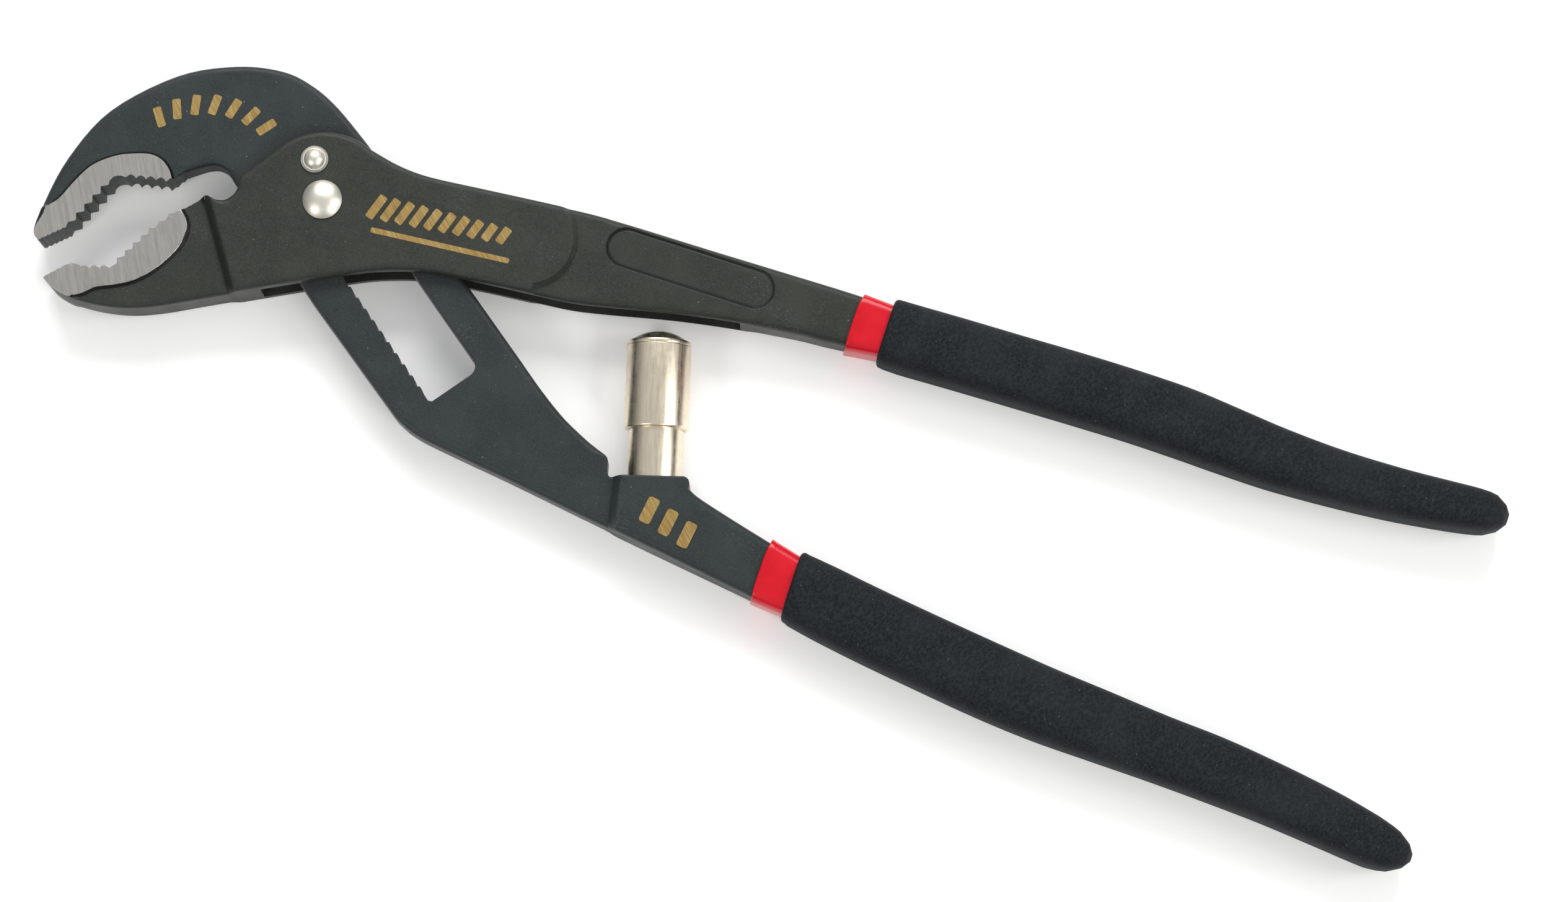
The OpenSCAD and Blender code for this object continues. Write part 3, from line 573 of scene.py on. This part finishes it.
class Side:
    """One outer side of a lever: a height over the plan, with rounded rims and softened steps.

    side is 1 or -1, least the lowest height of an outer face, and width and blur say how wide
    the rims and the softened steps are at a place.
    """

    def __init__(self, bm, tree, side, least, width, blur):
        self.bm, self.tree, self.side, self.least = bm, tree, side, least
        self.width, self.blur = width, blur
        self.caps = {
            f for f in bm.faces
            if f.normal.z * side > 0.6 and f.calc_center_median().z * side > least
        }
        self.steps = self.step_walls()
        self.corners = self.corner_limits()
        self.split_rims()
        self.read_steps()
        self.read_outline()

    def step_walls(self):
        """Upright faces with an outer face of this side at their foot."""
        found = set()
        for f in self.bm.faces:
            if abs(f.normal.z) < 0.3 and min(v.co.z * self.side for v in f.verts) > self.least:
                beside = f.calc_center_median() + f.normal * 0.03
                if self.cast(beside.x, beside.y) is not None:
                    found.add(f)
        return found

    def outline_edges(self):
        """Edges between an outer face and a wall that goes down to the other side."""
        out = []
        for e in self.bm.edges:
            mine = [f for f in e.link_faces if f in self.caps]
            other = [f for f in e.link_faces if f not in self.caps]
            if len(mine) == 1 and len(other) == 1 and other[0] not in self.steps:
                out.append(e)
        return out

    def step_edges(self):
        """Edges where the height of this side changes."""
        out = []
        for e in self.bm.edges:
            mine = [f for f in e.link_faces if f in self.caps]
            if len(mine) == 2 and e.calc_face_angle(0) > math.radians(10):
                out.append(e)
            elif len(mine) == 1 and any(f in self.steps for f in e.link_faces):
                out.append(e)
        return out

    def corner_limits(self):
        """Short edges at a sharp turn of the outline leave room for only a narrow rim."""
        at = {}
        for e in self.outline_edges():
            for v in e.verts:
                at.setdefault(v, []).append(e)
        limits = {}
        for v, edges in at.items():
            if len(edges) == 2:
                a, b = (e.other_vert(v).co - v.co for e in edges)
                if math.pi - a.angle(b, 0) > math.radians(28):
                    limits[v] = 0.30 * min(a.length, b.length)
        return limits

    def split_rims(self):
        """Cuts the long edges of the outline, finely where they are seen."""
        by_cuts = {}
        for e in self.outline_edges():
            step = 0.8 if min(v.co.x for v in e.verts) < HIDDEN_X else 8
            cuts = int(e.calc_length() / step)
            if cuts:
                by_cuts.setdefault(cuts, []).append(e)
        for cuts, edges in by_cuts.items():
            bmesh.ops.bisect_edges(self.bm, edges=edges, cuts=cuts)

    def read_steps(self):
        """The steps of this side as segments of the plan."""
        edges = [[v.co.xy[:] for v in e.verts] for e in self.step_edges()]
        edges = [e for e in edges if math.dist(*e) > 0.01]
        self.step_a = np.array([e[0] for e in edges])
        self.step_b = np.array([e[1] for e in edges])

    def read_outline(self):
        """The outline as segments, each with the rim width at both ends and its inward direction."""
        edges = self.outline_edges()
        limit = {}
        for e in edges:
            for v in e.verts:
                limit[v] = min(self.width(v.co.x, v.co.y), self.corners.get(v, 9))
        for _ in range(16):
            for e in edges:
                a, b = e.verts
                reach = 0.35 * e.calc_length()
                limit[a] = min(limit[a], limit[b] + reach)
                limit[b] = min(limit[b], limit[a] + reach)
        a, b, wa, wb, inward = [], [], [], [], []
        for e in edges:
            loop = next(lp for lp in e.link_loops if lp.face in self.caps)
            v, w = loop.vert, loop.link_loop_next.vert
            d = (w.co.xy - v.co.xy).normalized()
            if d.length < 0.5:
                continue
            a.append(v.co.xy[:])
            b.append(w.co.xy[:])
            wa.append(limit[v])
            wb.append(limit[w])
            inward.append((-d.y * self.side, d.x * self.side))
        self.a, self.b, self.wa, self.wb = map(np.array, (a, b, wa, wb))
        self.inward = np.array(inward)

    def cast(self, x, y):
        """Height of the outer CAD face over a place, or None."""
        start = Vector((x, y, RAY_START * self.side))
        hit, normal, _, _ = self.tree.ray_cast(start, Vector((0, 0, -self.side)))
        if hit is None or normal.z * self.side < 0.6 or hit.z * self.side < self.least:
            return None
        return hit.z * self.side

    def base(self, x, y, reach):
        """Height of the CAD face, averaged over a small disc."""
        spots = [(x, y)] if reach == 0 else []
        for part, count in ((1.0, 12), (0.55, 8)):
            for k in range(count if reach else 0):
                a = 2 * math.pi * k / count
                spots.append((x + part * reach * math.cos(a), y + part * reach * math.sin(a)))
        found = [z for z in (self.cast(*p) for p in spots) if z is not None]
        if not found:
            return None if reach > 0.2 else self.base(x, y, 0.25)
        return sum(found) / len(found)

    def heights(self, points):
        """Height of the rounded side at each point of the plan."""
        gap, which, along = to_segments(points, self.a, self.b)
        width = self.wa[which] * (1 - along) + self.wb[which] * along
        into = np.clip(width - gap, 0, None)
        drop = width - np.sqrt(np.maximum(width ** 2 - into ** 2, 0))
        if len(self.step_a):
            to_step, _, _ = to_segments(points, self.step_a, self.step_b)
        else:
            to_step = np.full(len(points), 9.0)
        out = []
        for (x, y), d, g, s in zip(points, drop, gap, to_step):
            soft = self.blur(x, y)
            reach = soft if s < soft else (0.02 if g < 0.01 else 0)
            z = self.base(x, y, reach)
            out.append(self.side * ((self.least if z is None else z) - d))
        return out

    def scatter(self):
        """Plan points: rows along the rims, rows along the steps and a loose grid between them."""
        rows = []
        for f in RIM_STEPS:
            for t in (0.0, 0.5):
                width = self.wa * (1 - t) + self.wb * t
                p = self.a * (1 - t) + self.b * t + self.inward * (width * f)[:, None]
                gap, _, _ = to_segments(p, self.a, self.b)
                keep = (gap > 0.93 * width * f) & (self.a[:, 0] < HIDDEN_X)
                rows.append(p[keep])
        if len(self.step_a):
            rows.append(self.step_rows())
        low, high = self.a.min(0), self.a.max(0)
        across, up = 3.1, 2.7
        columns = int((high[0] - low[0]) / across) + 1
        lines = int((high[1] - low[1]) / up) + 1
        grid = np.array([
            (low[0] + across * i + 1.5 * (j % 2), low[1] + up * j)
            for i in range(columns) for j in range(lines)
        ])
        gap, which, _ = to_segments(grid, self.a, self.b)
        keep = (gap > self.wa[which] + 0.7) & inside(grid, self.a, self.b)
        if len(self.step_a):
            keep &= to_segments(grid, self.step_a, self.step_b)[0] > 1.6
        rows.append(grid[keep])
        return np.concatenate(rows)

    def step_rows(self):
        """Rows of plan points on both sides of every step."""
        points = []
        for a, b in zip(self.step_a, self.step_b):
            length = math.dist(a, b)
            across = np.array((-(b - a)[1], (b - a)[0])) / length
            soft = self.blur(*((a + b) / 2))
            n = max(1, round(length / 0.45))
            for k in range(n):
                p = a + (b - a) * (k + 0.5) / n
                points += [p + across * soft * f for f in STEP_ROWS]
        points = np.array(points)
        gap, which, _ = to_segments(points, self.a, self.b)
        return points[(gap > 0.12) & inside(points, self.a, self.b)]

    def rebuild(self):
        """Replaces the outer faces by the rounded ones and brings the walls' rims down to meet them."""
        rims = {v for f in self.caps for v in f.verts}
        corners = {}
        for p in np.concatenate((self.a, self.b)):
            corners.setdefault((round(p[0], 4), round(p[1], 4)), len(corners))
        links = [
            (corners[round(p[0], 4), round(p[1], 4)], corners[round(q[0], 4), round(q[1], 4)])
            for p, q in zip(self.a, self.b)
        ]
        plan = [Vector(p) for p in corners] + [Vector(p) for p in self.scatter()]
        made = mathutils.geometry.delaunay_2d_cdt(plan, links, [], 0, 1e-4)
        points = np.array([p[:] for p in made[0]])
        z = self.heights(points)
        tris = np.array([t for t in made[2] if len(t) == 3])
        tris = tris[inside(points[tris].mean(1), self.a, self.b)]
        bmesh.ops.delete(self.bm, geom=list(self.caps | self.steps), context="FACES")
        finder = mathutils.kdtree.KDTree(len(points))
        for i, (x, y) in enumerate(points):
            finder.insert((x, y, 0), i)
        finder.balance()
        for v in rims:
            if v.is_valid:
                _, i, _ = finder.find((v.co.x, v.co.y, 0))
                v.co = (*points[i], z[i])
        verts = [self.bm.verts.new((x, y, h)) for (x, y), h in zip(points, z)]
        for t in tris:
            self.bm.faces.new([verts[i] for i in (t if self.side > 0 else t[::-1])])


def forging(name, node, least, width, blur, materials):
    """The CAD lever with rounded rims and softened steps on both of its sides."""
    bm = lever_solid(node)
    tree = BVHTree.FromBMesh(bm)
    for side in (1, -1):
        Side(bm, tree, side, least, width, blur).rebuild()
    bmesh.ops.remove_doubles(bm, verts=bm.verts, dist=0.004)
    loose = [v for v in bm.verts if not v.link_faces]
    bmesh.ops.delete(bm, geom=loose, context="VERTS")
    bmesh.ops.transform(bm, matrix=TO_MM.inverted(), verts=bm.verts)
    mark_sharp(bm, 38)
    mesh = bpy.data.meshes.new(name)
    bm.to_mesh(mesh)
    bm.free()
    piece = bpy.data.objects.new(name, mesh)
    bpy.context.scene.collection.objects.link(piece)
    weighted = piece.modifiers.new("normals", "WEIGHTED_NORMAL")
    weighted.keep_sharp = True
    weighted.weight = 80
    made = bpy.data.meshes.new_from_object(piece.evaluated_get(bpy.context.evaluated_depsgraph_get()))
    piece.modifiers.clear()
    piece.data = made
    bpy.data.meshes.remove(mesh)
    made.materials.clear()
    for m in materials:
        made.materials.append(m)
    return piece


# Edges this near to a rivet's axis, in millimetres, are those of its bore
PIVOT_REACH = 4.6
STOP_REACH = 3.2


def body_width(x, y):
    """Rim width of the body lever at a place on its outline."""
    if math.hypot(x, y) < PIVOT_REACH or math.hypot(x - STOP_AT[0], y - STOP_AT[1]) < STOP_REACH:
        return BORE_RIM
    if x < -21.5:
        # The jaw's outer curve is rounded, its pad and teeth are sharp
        return 1.0 if x > -42 and y < 0.8 * x + 1 else TOOTH_RIM
    if x < 56:
        return 1.1
    # The handle is rounder along its lower edge
    return 2.0 if x > 88.5 and y < 0.055 * x + 3 else 1.3


def body_blur(x, y):
    """How far the steps of the body lever are softened."""
    if x < -24:
        return 0.42
    if 56 < x < 93 and 5 < y < 14.5:
        return 0.20
    return 0.75 if x < 0 else 0.5


def arm_width(x, y):
    """Rim width of the arm lever at a place on its outline."""
    along = x * math.cos(SLOT_DIR) + y * math.sin(SLOT_DIR)
    aside = y * math.cos(SLOT_DIR) - x * math.sin(SLOT_DIR)
    # Round the slot with its rack, then on the top of the post's boss
    if -11 < along < 46.5 and -6.5 < aside < 7:
        return 0.22
    if 70 < x < 89 and -36 < y < -29:
        return 0.4
    # The jaw's pad and teeth
    if x < -30 and y < -4.5 and y < 1.35 * x + 49:
        return TOOTH_RIM
    return 1.2 if x < 70 else 1.4


def arm_blur(x, y):
    """How far the steps of the arm lever are softened."""
    return 0.28 if x < -20 else 0.8


def pad_faces(piece, x_limit, low):
    """Gives the second material to the raised pad and its border: left of x_limit and above low."""
    for p in piece.data.polygons:
        c = p.center - PIVOT
        if c.x / MM < x_limit and abs(p.center.z - MID_Z) / MM > low:
            p.material_index = 1


def make_forgings():
    """Both levers, enamelled except on the ground pads of the jaws."""
    body_enamel = enamel("body_enamel", BODY_BASE, body_crease_shade)
    arm_enamel = enamel("arm_enamel", ARM_BASE)
    lower_jaw = ground_jaw("lower_jaw_ground", BODY_BASE, BODY_PAD_HALF, 0.20, body_crease_shade)
    body = forging("body_forging", "body_lever", 3.96, body_width, body_blur, [body_enamel, lower_jaw])
    pad_faces(body, x_limit=-22.6, low=4.4)
    upper_jaw = ground_jaw("upper_jaw_ground", ARM_BASE, ARM_PAD_HALF, 0.12)
    arm = forging("arm_forging", "arm_lever", 3.0, arm_width, arm_blur, [arm_enamel, upper_jaw])
    pad_faces(arm, x_limit=-29.5, low=3.3)
    finish_piece(body, "body_lever", "body")
    finish_piece(arm, "arm_lever", "arm")


# ---------------------------------------------------------------- grips

# Points round a dipped layer, rows of points round its lip, and where its edge's waves end
GRIP_SIDES = 72
LIP_STEPS = 5
WAVE_FADE = 9 * MM


def rows_of(node):
    """Outer rings of a dipped layer, from its CAD solid: x, lowest y, highest y, half thickness."""
    rings = {}
    for v in frame["nodes"][node].data.vertices:
        rings.setdefault(round(v.co.x / MM, 2), []).append(v.co)
    rows = [
        (x * MM, min(p.y for p in ps), max(p.y for p in ps), max(abs(p.z - MID_Z) for p in ps))
        for x, ps in sorted(rings.items()) if len(ps) >= 12
    ]
    kept = [
        r for i, r in enumerate(rows)
        if i in (0, len(rows) - 1) or r[3] >= min(rows[i - 1][3], rows[i + 1][3]) - 0.25 * MM
    ]
    return np.array(kept)


def smooth_rows(rows, step):
    """Catmull-Rom curve through the rows, at even steps."""
    out = []
    for i in range(len(rows) - 1):
        a, b, c, d = rows[max(i - 1, 0)], rows[i], rows[i + 1], rows[min(i + 2, len(rows) - 1)]
        n = max(1, round((c[0] - b[0]) / step))
        for k in range(n):
            t = k / n
            out.append(0.5 * (2 * b + (c - a) * t + (2 * a - 5 * b + 4 * c - d) * t * t
                              + (3 * b - a - 3 * c + d) * t ** 3))
    out.append(rows[-1])
    return np.array(out)


def ring_points(row, inset, power, sides, shift):
    """One super-elliptic ring of a layer; shift moves points along X by their angle."""
    x, low, high, half = row
    points = []
    for k in range(sides):
        a = 2 * math.pi * k / sides
        c, s = math.cos(a), math.sin(a)
        y = (low + high) / 2 + ((high - low) / 2 - inset) * math.copysign(abs(c) ** (2 / power), c)
        z = MID_Z + (half - inset) * math.copysign(abs(s) ** (2 / power), s)
        points.append(Vector((x + shift(a), y, z)))
    return points


def dipped_layer(name, node, body, material, power, wall, lip, wave=0.0):
    """A sock over the handle: outer skin, rounded lip and inner skin. wave leaves its edge uneven."""
    rows = rows_of(node)
    rows = rows[1:] if rows[1][0] - rows[0][0] < 1.5 * MM else rows
    rows[0][0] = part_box(node)[0].x
    skin = smooth_rows(rows, 2 * MM)
    start, end = skin[0][0], skin[-1][0]
    verts, rings = [], []

    def shift_at(x):
        part = max(0.0, 1 - (x - start) / WAVE_FADE)
        return lambda a: wave * part * (0.5 + 0.5 * math.sin(2 * a + 0.6) * math.cos(a - 0.8))

    def add(row, inset):
        rings.append(list(range(len(verts), len(verts) + GRIP_SIDES)))
        verts.extend(ring_points(row, inset, power, GRIP_SIDES, shift_at(row[0])))

    def centre_of(row):
        verts.append(Vector((row[0], (row[1] + row[2]) / 2, MID_Z)))
        return len(verts) - 1

    for row in reversed(skin):
        if row[0] > start + lip * 1.4:
            add(row, 0.0)
    for k in range(LIP_STEPS + 1):
        a = math.pi / 2 * k / LIP_STEPS
        add(np.array([start + lip * (1 - math.sin(a)), *skin[0][1:]]), lip * (1 - math.cos(a)))
    inner = [r for r in skin if r[0] < end - 9 * MM]
    for row in inner:
        add(np.array([max(row[0], start + 0.02 * MM), *row[1:]]), wall)
    tip, back = centre_of(skin[-1]), centre_of(inner[-1])
    faces = []
    for k in range(GRIP_SIDES):
        n = (k + 1) % GRIP_SIDES
        faces += [[a[k], a[n], b[n], b[k]] for a, b in zip(rings, rings[1:])]
        faces.append([rings[0][n], rings[0][k], tip])
        faces.append([rings[-1][k], rings[-1][n], back])
    finish_piece(new_piece(name, verts, faces, material, 50), node, body)


def make_grips():
    """Red inner and black outer dip on both handles."""
    red, black = vinyl("red_vinyl"), grip_skin("black_grip")
    for side, body in (("upper", "body"), ("lower", "arm")):
        dipped_layer(f"{side}_red_dip", f"{side}_sleeve", body, red,
                     power=5.0, wall=0.75 * MM, lip=0.35 * MM, wave=0.7 * MM)
        dipped_layer(f"{side}_black_dip", f"{side}_grip", body, black,
                     power=3.6, wall=1.65 * MM, lip=0.9 * MM)


# ---------------------------------------------------------------- post and rivets


def make_post():
    """The spring post: sleeve, domed cap and the tube they slide on."""
    across_post = math.atan2(-POST_AXIS.y, POST_AXIS.x)
    nickel = plated("post_nickel", (0.89, 0.79, 0.62), 0.8, (0.25, 0.35), across_post)
    centre = post_centre()
    cap_top, _ = along_post("post_cap")
    sleeve_start, sleeve_end = along_post("post_sleeve")
    tube_start, tube_end = along_post("post_tube")
    post_r = (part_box("post_sleeve")[1].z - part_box("post_sleeve")[0].z) / 2
    tube_r = (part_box("post_tube")[1].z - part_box("post_tube")[0].z) / 2
    bore_r = tube_r + 0.05 * MM
    wall = 1.1 * MM
    sleeve = fillet([
        (sleeve_start, post_r - 0.5 * MM), (sleeve_start, post_r), (sleeve_end, post_r),
        (sleeve_end, bore_r), (sleeve_end - 3 * MM, bore_r), (sleeve_end - 3 * MM, post_r - 0.55 * MM),
        (sleeve_start, post_r - 0.55 * MM),
    ], {1: 0.12 * MM, 2: 0.55 * MM, 3: 0.1 * MM})
    cap_seam = sleeve_start - 0.05 * MM
    shoulder = cap_top + 1.9 * MM
    dome_r = post_r - 0.9 * MM
    dome_h = shoulder - cap_top
    ball = (dome_r ** 2 + dome_h ** 2) / (2 * dome_h)
    dome = []
    for k in range(13):
        r = dome_r * k / 12
        dome.append((cap_top + ball - math.sqrt(ball * ball - r * r), r))
    cap_wall = fillet([
        dome[-1], (shoulder + 0.25 * MM, post_r), (cap_seam, post_r), (cap_seam, post_r - 0.4 * MM),
    ], {1: 0.5 * MM, 2: 0.10 * MM})
    cap_foot = cap_seam + 1.0 * MM
    cap = dome + cap_wall[1:] + [(cap_foot, post_r - 0.57 * MM), (cap_foot, 0.0)]
    tube = fillet([
        (tube_start, tube_r - wall), (tube_start, tube_r), (tube_end, tube_r), (tube_end, tube_r - wall),
    ], {1: 0.2 * MM, 2: 0.2 * MM})
    for name, profile, node, body in (
        ("post_outer_sleeve", sleeve, "post_sleeve", "plunger"),
        ("post_domed_cap", cap, "post_cap", "plunger"),
        ("post_inner_tube", tube, "post_tube", "arm"),
    ):
        finish_piece(lathe(name, profile, centre, POST_AXIS, nickel), node, body)


def rivet_profile(node, head_h, head_r, shank_r, sink, rim, seat):
    """From the flush rear head, along the shank, to the domed front head."""
    low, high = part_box(node)[0].z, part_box(node)[1].z
    foot = high - head_h
    dome_start = foot + seat
    dome_h = high - dome_start
    dome_r = head_r - rim
    ball = (dome_r ** 2 + dome_h ** 2) / (2 * dome_h)
    rear_r = head_r - 0.1 * MM
    head = [(low, 0.0), (low, rear_r), (low + 0.1 * MM, rear_r), (low + sink, shank_r),
            (foot, shank_r), (foot, head_r - 0.12 * MM), (foot + 0.1 * MM, head_r)]
    if rim > 0:
        head += [(dome_start - 0.1 * MM, head_r), (dome_start, head_r - 0.1 * MM)]
        head.append((dome_start, dome_r + 0.05 * MM))
    dome = []
    for k in range(15):
        r = dome_r * (1 - k / 14)
        dome.append((high - ball + math.sqrt(ball * ball - r * r), r))
    return head + dome


def make_rivets():
    """Pivot rivet, and the small rivet with a flat rim round its dome."""
    steel = plated("rivet_steel", (0.79, 0.755, 0.665), 1.6, (0.37, 0.48))
    for name, node, body, head_h, head_r, shank_r, rim, seat in (
        ("pivot_rivet_turned", "pivot_rivet", "pivot", 1.80, 3.95, 3.2, 0.0, 0.25),
        ("stop_rivet_turned", "stop_rivet", "body", 1.55, 2.45, 1.7, 0.32, 0.35),
    ):
        low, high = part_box(node)
        centre = Vector(((low.x + high.x) / 2, (low.y + high.y) / 2, 0))
        profile = rivet_profile(node, head_h * MM, head_r * MM, shank_r * MM, 1.15 * MM, rim * MM, seat * MM)
        finish_piece(lathe(name, profile, centre, Vector((0, 0, 1)), steel), node, body)


def finish_inner_parts():
    """The CAD parts that keep their own mesh get their metal."""
    tool = plain_steel("tool_steel", (0.36, 0.35, 0.33), 0.32)
    spring = plain_steel("spring_steel", (0.50, 0.50, 0.52), 0.22)
    washer = plain_steel("washer_steel", (0.62, 0.60, 0.56), 0.28)
    for node, metal in (
        ("guide_block", tool), ("pawl", tool), ("spring_seat", tool), ("pawl_spring", spring),
        ("post_spring", spring), ("post_stop_ring", spring), ("stop_washer", washer),
    ):
        mesh = frame["nodes"][node].data
        mesh.materials.clear()
        mesh.materials.append(metal)


# ---------------------------------------------------------------- printed marks

# The print reaches this far into the enamel and stands this far above it, in millimetres
PRINT_SUNK = 0.02
PRINT_RAISED = 0.03


def flat_print(name, outlines, z_mm, body, material):
    """Thin closed solids on a flat face, one for each outline."""
    verts, faces = [], []
    for outline in outlines:
        n, base = len(outline), len(verts)
        for z in (z_mm - PRINT_SUNK, z_mm + PRINT_RAISED):
            verts.extend(from_pivot(x, y, z) for x, y in outline)
        faces.append([base + i for i in reversed(range(n))])
        faces.append([base + n + i for i in range(n)])
        for i in range(n):
            k = (i + 1) % n
            faces.append([base + i, base + k, base + n + k, base + n + i])
    piece = new_piece(name, verts, faces, material, 30)
    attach(piece, body)


def bar(cx, cy, angle, length, width, corner=0.35, steps=4):
    """A rounded bar, its long side at the given angle in degrees."""
    points = []
    for sx, sy, first in ((1, 1, 0), (-1, 1, 90), (-1, -1, 180), (1, -1, 270)):
        for k in range(steps + 1):
            a = math.radians(first + 90 * k / steps)
            points.append((sx * (length / 2 - corner) + corner * math.cos(a),
                           sy * (width / 2 - corner) + corner * math.sin(a)))
    c, s = math.cos(math.radians(angle)), math.sin(math.radians(angle))
    return [(cx + x * c - y * s, cy + x * s + y * c) for x, y in points]


def make_marks():
    """Plain gold stripes where the real tool carries print."""
    gold = gold_print("gold_print")
    arc_x, arc_y, arc_r = -23.5, -5.5, 18.2
    dashes = []
    for k in range(7):
        a = 139 - 12.2 * k
        x = arc_x + arc_r * math.cos(math.radians(a))
        y = arc_y + arc_r * math.sin(math.radians(a))
        dashes.append(bar(x, y, a - 14, 4.2, 1.7))
    flat_print("head_mark", dashes, 3.75, "arm", gold)
    stripes = [bar(10.8 + 2.9 * k, 1.9 + 0.26 * k, 72, 5.4 - 0.2 * k, 1.75) for k in range(10)]
    stripes.append(bar(25.4, -1.6, 5, 28.5, 1.1, 0.4))
    flat_print("cheek_mark", stripes, 6.8, "body", gold)
    bars = [bar(82.0 + 4.3 * k, -39.4 - 1.2 * k, 82, 5.4, 2.4, 0.6) for k in range(3)]
    flat_print("boss_mark", bars, 6.3, "arm", gold)


# ---------------------------------------------------------------- stage


def make_stage():
    """A pale floor under the tool."""
    low, _ = cad_box
    half = 3.0
    verts = [(x * half, y * half, low.z) for x, y in ((-1, -1), (1, -1), (1, 1), (-1, 1))]
    new_piece("floor", verts, [[0, 1, 2, 3]], floor_paper("floor_paper"))


def soft_light(name, place, size, power, colour=(1, 1, 1)):
    """A rectangular lamp that faces the tool."""
    light = bpy.data.lights.new(name, "AREA")
    light.shape = "RECTANGLE"
    light.size, light.size_y = size
    light.energy = power
    light.color = colour
    lamp = bpy.data.objects.new(name, light)
    lamp.location = place
    lamp.rotation_euler = (-Vector(place)).to_track_quat("-Z", "Y").to_euler()
    bpy.context.scene.collection.objects.link(lamp)


def make_world():
    """A studio that is dim at the horizon and bright overhead."""
    world = bpy.data.worlds.new("studio")
    bpy.context.scene.world = world
    world.use_nodes = True
    tree = world.node_tree
    background = tree.nodes["Background"]
    background.inputs["Color"].default_value = (0.98, 0.99, 1.0, 1)
    place = tree.nodes.new("ShaderNodeTexCoord")
    height = tree.nodes.new("ShaderNodeSeparateXYZ")
    ramp = tree.nodes.new("ShaderNodeMapRange")
    set_ranges(ramp, 0.02, 0.62, 0.05, 0.55)
    tree.links.new(place.outputs["Generated"], height.inputs[0])
    tree.links.new(height.outputs["Z"], ramp.inputs["Value"])
    tree.links.new(ramp.outputs["Result"], background.inputs["Strength"])


def make_lights():
    """Two low warm lamps in front, one at the right and a wide one beyond the handles."""
    warm = (1, 0.985, 0.96)
    soft_light("low_left", (-0.52, -0.85, 0.85), (0.34, 0.34), 3.6, warm)
    soft_light("low_right", (0.85, -0.42, 0.85), (0.34, 0.34), 3.6, warm)
    soft_light("right", (1.0, 0.30, 0.85), (0.35, 0.8), 4)
    soft_light("top", (-0.36, 1.1, 0.95), (1.1, 0.7), 17.5)


def make_camera():
    """Looks down on the tool, 8.7 degrees off the vertical, as the photographer did."""
    camera = bpy.data.cameras.new("camera")
    camera.lens = 103.02
    camera.sensor_width = 36
    camera.clip_start = 0.05
    view = bpy.data.objects.new("camera", camera)
    view.location = PIVOT + Vector((145.42, -148.15, 887.93)) * MM
    view.rotation_euler = (math.radians(8.7), 0, math.radians(18))
    bpy.context.scene.collection.objects.link(view)
    bpy.context.scene.camera = view


bpy.context.scene.view_settings.view_transform = "Standard"
make_camera()
make_stage()
make_world()
make_lights()
make_forgings()
make_grips()
make_post()
make_rivets()
finish_inner_parts()
make_marks()
